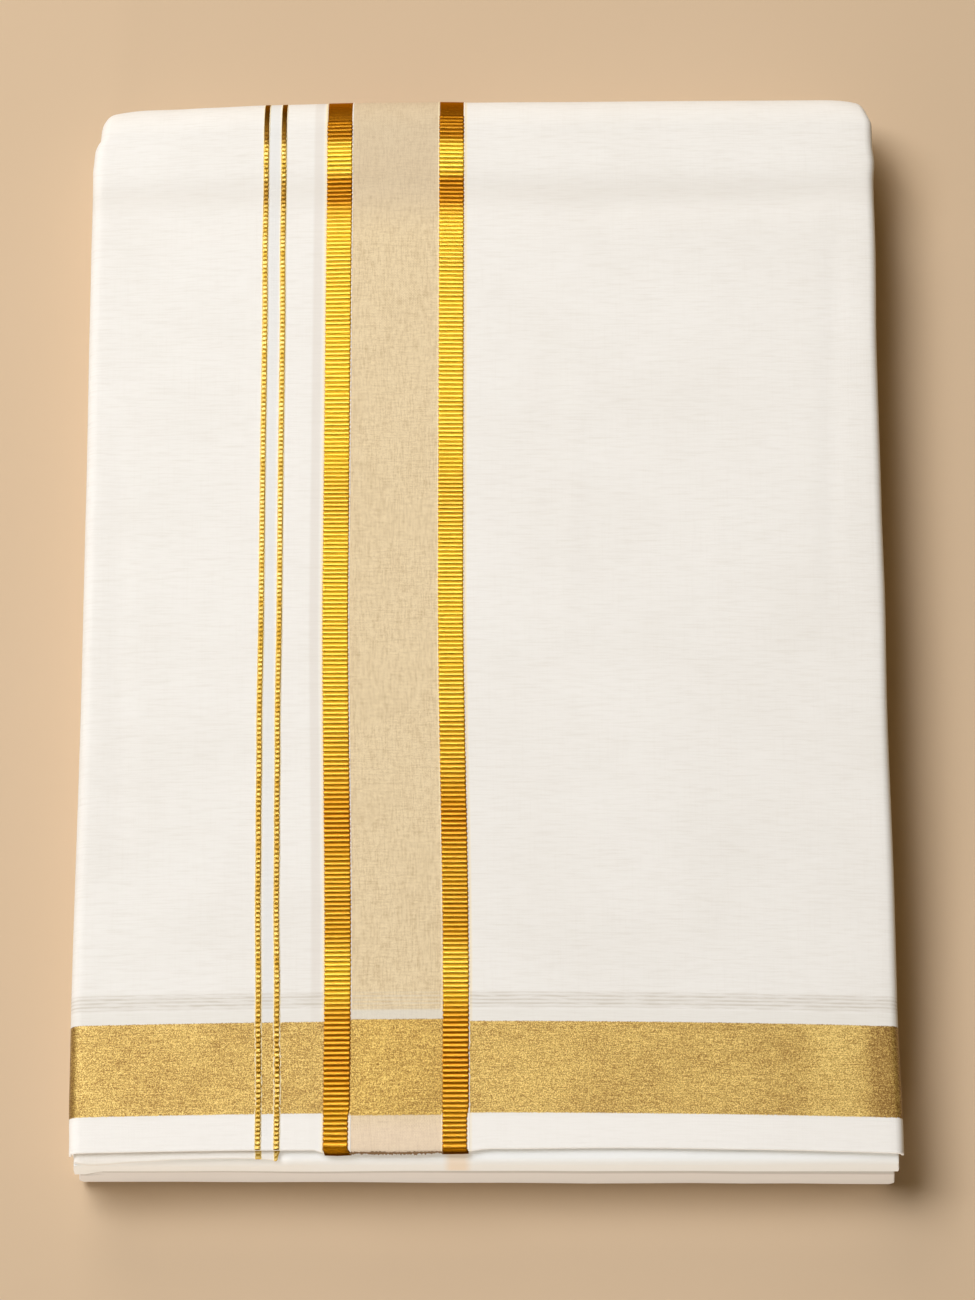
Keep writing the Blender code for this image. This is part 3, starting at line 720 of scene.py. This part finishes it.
def makeZariStripe(name, stripe, material):
    lip = lipRows(stripe["lip"])
    rows = lip + ribRows(lip[-1][0] + 0.2 * mm, leafLength - 2 * mm, stripe["smoothFrom"])
    profile = {s: (height, shine) for s, height, shine in rows}
    middle, width = stripe["x"] * mm, stripe["width"] * mm
    shares = (-1.04, -1.0, -0.97, -0.9, -0.6, 0.0, 0.6, 0.9, 0.97, 1.0, 1.04)

    def place(share, s):
        height, shine = profile[s]
        edge = abs(share)
        bulge = (0.2 * max(height, 0) + 0.3 * (1 - ease(s / (stripe["lip"] * mm)))) * mm * (edge > 0.9)
        x = middle + share * width / 2 + math.copysign(bulge, share)
        x -= 0.25 * mm * (1 + share) * (1 - ease((s - 8 * mm) / (4 * mm)))  # the hem draws the stripe in
        x += stripe["slip"] * mm * (1 - ease((s + 0.3 * mm) / (1.2 * mm)))
        inner = edge < 0.98
        lift = 0.04 * mm + rib["height"] * height * (1 if inner else rib["sideShare"])
        if edge > 1.03:
            lift = -rib["tuck"]
        shine = max(shine, 0) * (1.0 if inner else rib["sideShine"])
        return leafSurface(x, max(s, 0), lift) + Vector((0, min(s, 0), 0)), shine

    return gridPiece(name, shares, [row[0] for row in rows], place, material)


fineLine = {
    "height": 0.15 * mm,
    "edgeShine": 0.7,
    "dotPower": 2.6,  # widens the painted shade in the gaps between its dashes
    # how far both fine lines wander aside, by distance from the near edge
    "wander": ((0, -0.05), (15, 0.0), (40, -0.4), (70, -0.75), (95, -0.5), (119, -0.15), (162, 0.45), (217, 0.3),
               (250, 0.3), (280, 0.0)),
}


def makeFineLine(name, x, stripe, material, surface, end):
    # a narrow gold stripe of small dashes, painted with dark dots between two painted-bright edges
    rows = ribRows(0.0, end, stripe["smoothFrom"])
    profile = {s: (height, shine) for s, height, shine in rows}
    shares = (-1.1, -0.95, -0.6, -0.25, 0.25, 0.6, 0.95, 1.1)
    width = stripe["width"] * mm

    def place(share, s):
        height, shine = profile[s]
        edge = abs(share)
        reach = 1 + 0.12 * height * (edge > 0.9)
        lift = -0.1 * mm if edge > 1.0 else 0.05 * mm + fineLine["height"] * height * (1 - 0.6 * edge**2)
        onEdge = ease((edge - 0.45) / 0.5) * (1 - ease((s / mm - stripe["smoothFrom"]) / 2))
        shine = shine**fineLine["dotPower"]
        shine += (fineLine["edgeShine"] - shine) * onEdge
        return surface(x + fromTable(fineLine["wander"], s) + share * reach * width / 2, s, lift), shine

    return gridPiece(name, shares, [row[0] for row in rows], place, material)


edging = {
    "width": 0.36 * mm,
    "height": 0.2 * mm,
    "rowStep": 0.3 * mm,
    "gap": 0.12,  # between a stripe's side and the thread's middle, in mm
}


def makeEdging(name, x, surface, end, material, overGold=1.0, wander=()):
    # a thread beside a stripe, pulled to and fro where it crosses the gold band, or hidden by it
    shares = (-1.0, -0.6, 0.0, 0.6, 1.0)
    rows = spread(0.0, end, edging["rowStep"])

    def place(share, s):
        inBand = ease((s / mm - 8) / 4) * ease((41 - s / mm) / 5) if end > 50 * mm else 0
        sway = unevenness(s, x * 9, 1.1 * mm, (0.04 + 0.16 * inBand) * mm)
        sway += unevenness(s, x * 4, 0.5 * mm, 0.22 * inBand * mm)
        thick = 1 + 0.5 * inBand * unevenness(s, x * 5 + 1, 0.6 * mm, 1.6)
        thick += unevenness(s, x * 5 + 1, 0.8 * mm, 0.5)
        lift = edging["height"] * thick * (1 - share**2) - (0.06 + 0.3 * inBand * (1 - overGold)) * mm
        if wander:
            sway += fromTable(wander, s)
        return surface(x + sway + share * thick * edging["width"] / 2, s, lift), 0.0

    return gridPiece(name, shares, rows, place, material)


# the frayed edge's colour, dark brown partly as painted shadow
rawEdgeShadow = {"from": -39.9 * mm, "to": -13.4 * mm, "step": 0.2 * mm, "width": 0.36 * mm, "tone": (104, 72, 36)}


def shadedRawThreadMaterial():
    material, shader, wire = newMaterial("rawThread", 0.75)
    place = clothPlaces(wire)
    fray = streaks(place, 2600, 2600, 2, 12.0, 0.7)
    lighter = [min(tone + 48, 255) for tone in rawEdgeShadow["tone"]]
    plug(fray.step(0.35, 0.7).tones(rawEdgeShadow["tone"], lighter), shader, "Base Color")
    plug(fray.bump(0.4, 0.0002), shader, "Normal")
    return material


def makeRawEdge(material):
    # the tissue's frayed last weft between the two zari stripes; its dark brown is partly the threads' own and partly
    # painted shadow under the edge
    shares = (-1.0, -0.4, 0.3, 1.0)

    def place(x, share):
        fray = 0.6 + 1.9 * abs(unevenness(x, share * mm, 0.42 * mm, 1.0)) + unevenness(x, 7 * mm, 3 * mm, 0.6)
        s = (share - 0.35) * rawEdgeShadow["width"] * fray
        lift = 0.06 * mm + 0.16 * mm * (1 - share**2)
        return leafSurface(x, max(s, 0), lift) + Vector((0, min(s, 0), 0)), 0.0

    columns = spread(rawEdgeShadow["from"], rawEdgeShadow["to"], rawEdgeShadow["step"])
    return gridPiece("rawEdgeShadow", columns, shares, place, material)


secondLeaf = {
    "under": 1.5 * mm,  # its outer surface below the wrap
    "wall": 0.8 * mm,
    "frontRadius": 4.7 * mm,
    "endY": 116 * mm,
    "rightX": 115 * mm,
    "linesEnd": 12 * mm,  # the fine lines are seen at its edge alone
    "linesShift": 1.9 * mm,
    # degrees that its edge turns down over the front, by place across in mm; under 0 it lies back on the stack
    "over": ((-118, 50), (-112, 60), (-97, 48), (-86, 41), (-73, 38), (-63, 39), (-58.6, 45), (-57.9, 22), (-57.2, 0),
             (-56.4, -6), (118, -6)),
}


def secondSurface(u, row, lift=0.0):
    # row is under 0 round the front, down to -1 at the edge, and then the distance behind the front's turn
    x, depth, bend = across(u, False)
    foldY = fold["frontY"] + secondLeaf["frontRadius"]
    lift -= secondLeaf["under"]
    lift += unevenness(x, row if row > 0 else 0, 30 * mm, 0.12 * mm)
    if row > 0:
        return wrapPoint(x, depth, foldY + row, 0, bend, lift)
    over = fromTable(secondLeaf["over"], x) / mm
    if over < 0:
        return wrapPoint(x, depth, foldY + (2.4 - 7.2 * row) * mm, 0, bend, lift)
    angle = math.radians(over) * -row
    radius = secondLeaf["frontRadius"] + 1.3 * mm + lift + secondLeaf["under"]
    drop = radius * (1 - math.cos(angle)) * (1 - depth / fold["turnDepth"])
    return wrapPoint(x, depth, foldY, 0, bend, lift) - Vector((0, radius * math.sin(angle), drop))


def secondAlong(u, s, lift=0.0):
    # the same surface by distance from the leaf's edge
    turned = fromTable(secondLeaf["over"], u) / mm
    arc = math.radians(max(turned, 1)) * (secondLeaf["frontRadius"] + 1.3 * mm)
    return secondSurface(u, s / arc - 1 if s < arc else s - arc, lift)


def makeSecondLeaf(material):
    sharp = [x * mm for x in (-60.2, -59.4, -58.9, -58.6, -58.2, -57.9, -57.5, -57.2, -56.8, -56.4)]
    columns = joined(
        spread(leftLip, sideStart, 0.8 * mm),
        spread(sideStart, -61 * mm, 2.0 * mm),
        sharp, spread(-55 * mm, secondLeaf["rightX"], 4 * mm)
    )
    rows = joined(
        [-1, -0.85, -0.7, -0.55, -0.4, -0.2], [0.0], spread(3 * mm, 20 * mm, 3 * mm), spread(20 * mm, 278 * mm, 9 * mm)
    )

    def place(u, row):
        return secondSurface(u, row), 0.0

    return gridPiece("secondLeaf", columns, rows, place, material, secondLeaf["wall"])


stack = {
    "width": 235.3 * mm,
    "frontRadius": 4.7 * mm,
    "corner": 1.2 * mm,
    "bottomRadius": 1.5 * mm,
    "overhang": (0.5 * mm, -0.1 * mm),  # of the upper half of the front over the lower one, at the left and right
    "upperTurn": 1.0 * mm,  # radius of the upper half's under edge
    "lowerTurn": 2.2 * mm,
    "upperCorner": 0.5 * mm,
    "lowerCorner": 0.6 * mm,
    "frontBlend": -158 * mm,  # the front's roundings run out here
    "frontFlare": 0.5 * mm,
    "lowerFlare": 1.1 * mm,
    "cornerDrop": 3.6 * mm,  # the upper half's left corner hangs lower than its middle
    "lowerTuck": 0.6 * mm,
    # the last few millimetres before the front fill the leaves' ends: where they start, and how far they reach
    "frontFrom": -162.5 * mm,
    "frontLeft": (116.6 * mm, 115.5 * mm),  # upper half, lower half
    "frontRight": (117.7 * mm, 117.1 * mm),
    "frontRise": 1.35 * mm,  # fills the room in front of the second leaf
    "frontFoot": 1.4 * mm,
    "rollCover": 1.6 * mm,
    "fieldCover": 2.8 * mm,
    "tray": 0.335,  # share of the half thickness that the turned sides of the outer leaves hide
    "cRoom": 3.6 * mm,
    "endTaper": 2.0 * mm,
    # creases between the folds, from the tray in to the last doubling: depth share and how far each lies in
    "creases": ((0.335, 1.0), (0.41, 0.55), (0.48, 0.6), (0.56, 1.0), (0.63, 0.5), (0.70, 0.65), (0.77, 1.2),
                (0.85, 0.5), (0.92, 0.6), (1.0, 2.4)),
    "bulges": (0.15, 0.05, 0.3, 0.1, 0.35, 0.15, 0.3, 0.1, 0.25),  # how far each fold lies in from the widest
    # the rounding of the block's ends at the front
    "creaseRound": 1.3 * mm,
    "lowerRound": 2.3 * mm,
    "upperRound": 1.5 * mm,
    "leafRoom": 0.9 * mm,  # for the second leaf's side
}


def stackLevels():
    # share of the way from the outside in to the middle, and how far the side lies in there
    levels = [(0.0, 3.9), (0.1, 2.7), (0.2, 2.5), (0.32, 2.5)]
    for (depth, tuck), (nextDepth, _), bulge in zip(stack["creases"], stack["creases"][1:], stack["bulges"]):
        wide = nextDepth - depth
        levels += [(depth, tuck), (depth + wide * 0.14, bulge + 0.28), (depth + wide * 0.5, bulge),
                   (nextDepth - wide * 0.14, bulge + 0.28)]
    levels += [(1.0, stack["creases"][-1][1])]
    return [(depth, tuck * mm) for depth, tuck in levels]


def quarterInset(distance, radius):
    if distance >= radius:
        return 0.0
    return radius - math.sqrt(radius**2 - (radius - max(distance, 0)) ** 2)


def latticeBlock(counts, place):
    # a cube cut into a lattice, each point of its surface then moved to place(i, j, k)
    mesh = bmesh.new()
    bmesh.ops.create_cube(mesh, size=2)
    for direction, count in enumerate(counts):
        lengthwise = [edge for edge in mesh.edges
                      if abs(edge.verts[0].co[direction] - edge.verts[1].co[direction]) > mm]
        bmesh.ops.subdivide_edges(mesh, edges=lengthwise, cuts=count - 1)
    for point in mesh.verts:
        index = [round((point.co[direction] + 1) / 2 * counts[direction]) for direction in range(3)]
        point.co = place(*index)
    for face in mesh.faces:
        face.smooth = True
    return mesh


def makeFoldedLayers(material):
    halfWidth = stack["width"] / 2
    corner = [stack["corner"] * (1 - math.sin(math.radians(angle))) for angle in (55, 40, 25, 12, 0)]
    middle = [x * mm / halfWidth for x in (
        -114.5, -112, -109, -100, -88, -75, -66, -59, -57, -55, -48, -40, -30, -20, -13, -8.5, -4, 5, 15, 30, 45, 60,
        75, 90, 103, 112, 114.5)]
    left = [inset / halfWidth - 1 for inset in corner]
    columns = left + middle + [-share for share in reversed(left)]
    rows = [fold["frontY"] + inset for inset in corner]
    rows += [y * mm for y in (
        -165, -164.2, -163.5, -163, -162.5, -161, -157, -154, -151, -135, -110, -80, -50, -20, 10, 40, 70, 90, 104, 114,
        121, 127, 132, 137, 141, 145)]
    rows += [fold["rollY"]]
    levels = stackLevels()[::-1]
    halfCount, lastRow, lastColumn = len(levels) - 1, len(rows) - 1, len(columns) - 1

    def place(i, j, k):
        up, past = k - halfCount, max(j - lastRow, 0)
        depth, tuck = levels[max(abs(up), past)]
        share = 1 - depth
        y = rows[min(j, lastRow)]
        front = ease((stack["frontFrom"] - y) / (0.9 * mm))
        if past == 0:
            turn = 0 if up >= 0 else 180
        elif past > abs(up):
            turn = 90 - 45 * up / past
        else:
            turn = 45 * past / abs(up) if up > 0 else 180 - 45 * past / abs(up)
        onSide = i in (0, lastColumn)
        if columns[i] > 0 and depth < stack["tray"]:
            tuck += stack["cRoom"] * ease((150 - turn) / 28)
        if onSide and depth >= stack["tray"]:
            ripple = unevenness(y * 0.25 + up * 0.9 * mm, columns[i] * 0.1 + abs(up) * 0.7 * mm, 9 * mm, 0.5 * mm)
            tuck += ripple + 0.12 * mm
        if up < 0:
            tuck += stack["lowerTuck"]
        wide = halfWidth - tuck
        x = columns[i] * wide
        if onSide:
            x = math.copysign(wide - quarterInset(y - fold["frontY"], stack["corner"]), x)
        if past:
            reach = (fold["rollRadius"] - stack["rollCover"] - sagAt(x, fold["rollY"], turn)) * share
            y += reach * math.sin(math.radians(turn))
            z = fold["rollRadius"] + reach * math.cos(math.radians(turn))
            x -= stack["endTaper"] * columns[i] * ((y - fold["rollY"]) / fold["rollRadius"]) ** 2
        else:
            change = ease((y - 117 * mm) / (6 * mm)) if up >= 0 else 1
            cover = stack["fieldCover"] + (stack["rollCover"] - stack["fieldCover"]) * change
            if up >= 0:
                cover -= stack["frontRise"] * ease((x + 58 * mm) / (3 * mm)) * ease((-153.5 * mm - y) / (3 * mm))
            else:
                cover -= stack["frontFoot"] * front
            inward = cover + sagAt(x, y, turn)
            top = fieldHeight(y) - inward
            surface = top if up >= 0 else inward
            z = fold["rollRadius"] + (surface - fold["rollRadius"]) * share
            cornerRadius = stack["upperCorner"] if up > 0 else stack["lowerCorner"]
            runOut = (stack["frontBlend"] - y) / (stack["frontBlend"] - fold["frontY"])
            if runOut > 0:
                middle = z - fold["rollRadius"]
                if up >= 0:
                    inset = quarterInset(top - z, stack["frontRadius"]) + quarterInset(middle, stack["upperTurn"])
                else:
                    fromLeft = (columns[i] + 1) / 2
                    inset = stack["overhang"][0] * (1 - fromLeft) + stack["overhang"][1] * fromLeft
                    inset += quarterInset(-middle, stack["lowerTurn"]) + quarterInset(z - inward, stack["bottomRadius"])
                atCorner = ease((-x - 109 * mm) / (5 * mm)) * front
                z -= stack["cornerDrop"] * atCorner * ease((depth - 0.3) / 0.7)
                y += (inset + unevenness(x, z * 2, 26 * mm, 0.25 * mm) * (j == 0)) * runOut
            if j == 0:
                fromSide = (1 - abs(columns[i])) * halfWidth
                y += quarterInset(fromSide, cornerRadius) - corner[0]
        # the sides follow those of the leaf that wraps them, less and less towards the middle and the underside
        back = min(y, fold["rollY"])
        lower = 0.5 * insetAt(x, back, 0.0) * (1 - share)
        upper = insetAt(x, back, min(turn, 179.9)) * (0.5 + 0.5 * share)
        under = min(max(turn / 90 - 1, 0), 1) if past else float(up < 0)
        x -= math.copysign(1, x) * (upper + (lower - upper) * under)
        if front:
            # in front of the leaves' turned sides the block's own ends show
            end = stack["frontLeft" if columns[i] < 0 else "frontRight"][up < 0]
            end -= stack["creaseRound"] * ease((depth - 0.95) / 0.05)
            if up < 0:
                end += stack["lowerFlare"] * (1 - depth) - stack["lowerRound"] * (1 - ease(depth / 0.2))
            else:
                end -= stack["upperRound"] * (1 - ease(depth / 0.13))
                end += stack["frontFlare"] * ease((depth - 0.3) / 0.5)
                if columns[i] < 0 and depth < stack["tray"]:
                    end -= stack["leafRoom"]
            if onSide:
                end -= quarterInset(rows[j] - fold["frontY"], cornerRadius)
            x += (columns[i] * end - x) * front
        return Vector((x, y + leanAt(x, y), z))

    mesh = latticeBlock((lastColumn, lastRow + halfCount, 2 * halfCount), place)
    return inScene("foldedLayers", mesh, material)


baseLeaf = {"wall": 0.8 * mm, "startTurn": 119.3, "frontY": -163.4 * mm}


def makeBaseLeaf(material):
    # from the back of the far fold round under the stack to the front
    radius = fold["rollRadius"]
    firstArc = math.radians(180 - baseLeaf["startTurn"]) * radius
    lip = half - fold["sideRadius"] + sideArc + fold["turnDepth"] - fold["sideRadius"]
    columns = joined(
        spread(-lip, sideStart, 0.8 * mm),
        spread(sideStart, -sideStart, 6 * mm),
        spread(-sideStart, lip, 0.8 * mm)
    )
    length = firstArc + fold["rollY"] - baseLeaf["frontY"]
    rows = joined(spread(0, firstArc, 1.2 * mm), spread(firstArc, length, 8 * mm))

    def place(u, s):
        x, depth, bend = across(u, False)
        if s < firstArc - 0.001 * mm:
            turn, y = baseLeaf["startTurn"] + math.degrees(s / radius), fold["rollY"]
        else:
            turn, y = 180, fold["rollY"] - (s - firstArc)
        return wrapPoint(x, depth, y, turn, bend, 0.0), 0.0

    return gridPiece("baseLeaf", columns, rows, place, material, baseLeaf["wall"]), (2 * lip, length)


paper = {"halfSize": 3.0, "drop": 0.0002, "light": (213, 188, 158), "dark": (209, 183, 151), "roughness": 0.9}


def makeFloor():
    mesh = bmesh.new()
    bmesh.ops.create_grid(mesh, x_segments=1, y_segments=1, size=paper["halfSize"])
    material, shader, wire = newMaterial("floorPaper", paper["roughness"])
    cloud = streaks(objectPlaces(wire), 6, 6, 2, 1.0)
    plug(cloud.tones(paper["light"], paper["dark"]), shader, "Base Color")
    floor = inScene("floor", mesh, material)
    floor.location.z = -paper["drop"]


view = {
    "place": (0.96 * mm, -523.35 * mm, 1466.7 * mm),
    "elevation": 70.5,
    "focalPixels": 5222.5,  # over a frame 975 wide
    "frameWidth": 975,
}


def makeCamera():
    camera = bpy.data.cameras.new("camera")
    camera.sensor_fit = "HORIZONTAL"
    camera.sensor_width = 36
    camera.lens = 36 * view["focalPixels"] / view["frameWidth"]
    holder = bpy.data.objects.new("camera", camera)
    holder.location = view["place"]
    holder.rotation_euler = (math.radians(90 - view["elevation"]), 0, 0)
    bpy.context.scene.collection.objects.link(holder)
    bpy.context.scene.camera = holder


lights = {
    "key": {"place": (-1.12, 0.57, 2.56), "size": 1.44, "power": 66.2, "colour": (0.981, 1.005, 1.046)},
    "front": {"place": (-0.25, -1.75, 0.15), "size": 0.28, "power": 14.3, "colour": (1.015, 0.977, 0.93)},
    "back": {"place": (-0.6, 1.5, 1.25), "size": 1.0, "power": 10.0, "colour": (1.05, 0.96, 0.84)},
    "sky": {"colour": (1.06, 0.75, 0.32), "strength": 0.115},
}


def makeLights():
    for name in ("key", "front", "back"):
        setting = lights[name]
        light = bpy.data.lights.new(name, "AREA")
        light.size = setting["size"]
        light.energy = setting["power"]
        light.color = setting["colour"]
        holder = bpy.data.objects.new(name, light)
        holder.location = setting["place"]
        holder.rotation_euler = (-Vector(setting["place"])).to_track_quat("-Z", "Y").to_euler()
        bpy.context.scene.collection.objects.link(holder)
    world = bpy.data.worlds.new("softRoom")
    world.use_nodes = True
    background = world.node_tree.nodes["Background"]
    background.inputs["Color"].default_value = (*lights["sky"]["colour"], 1)
    background.inputs["Strength"].default_value = lights["sky"]["strength"]
    bpy.context.scene.world = world
    bpy.context.scene.view_settings.view_transform = "Standard"


makeCamera()
makeLights()
makeFloor()
print("stage ready")

bordered = topLeafMaterial()
zariGold = zariMaterial("zariGold", zari)
zariFine = zariMaterial("zariFine", zariThin)
zariLitInShade = zariMaterial("zariLitInShade", zariUnderLit)
cotton = cottonMaterial()
creamThread = creamThreadMaterial()
folded = layerMaterial()


def settle(piece):
    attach(piece, "root")
    return piece


leaf = settle(makeTopLeaf(bordered))
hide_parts("top_leaf")
onLeaf, onSecond = [], []
threadEnd, secondEnd = leafLength - 1 * mm, secondLeaf["linesEnd"]
for name, stripe in stripes.items():
    fine = name.startswith("fine")
    x, width = stripe["x"] * mm, stripe["width"] * mm
    if fine:
        onLeaf.append(makeFineLine(name, x, stripe, zariFine, leafSurface, threadEnd))
        under = x + secondLeaf["linesShift"]
        onSecond.append(makeFineLine(name + "Under", under, stripe, zariLitInShade, secondAlong, secondEnd))
    else:
        onLeaf.append(makeZariStripe(name, stripe, zariGold))
    for side, way in (("A", -1), ("B", 1)):
        offset = way * (width / 2 + edging["gap"] * mm + (0 if fine else 0.22 * mm))
        shown = 1.0 if fine or (name, side) == ("zariRight", "B") else 0.0
        thread = cotton if (name, side) in (("zariLeft", "B"), ("zariRight", "B")) else creamThread
        wander = fineLine["wander"] if fine else ()
        label = "Edging" + side
        onLeaf.append(makeEdging(name + label, x + offset, leafSurface, threadEnd, thread, shown, wander))
        if fine:
            onSecond.append(makeEdging(name + "Under" + label, under + offset, secondAlong, secondEnd, thread))
onLeaf.append(makeRawEdge(shadedRawThreadMaterial()))
for piece in onLeaf:
    settle(piece)
for piece in onSecond:
    settle(piece)
rightLip - leftLip
print("top leaf made")

under = settle(makeSecondLeaf(cotton))
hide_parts("second_leaf")
layers = settle(makeFoldedLayers(folded))
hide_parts("folded_layers")
base, baseFlat = makeBaseLeaf(cotton)
settle(base)
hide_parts("base_leaf")
print("stack made")
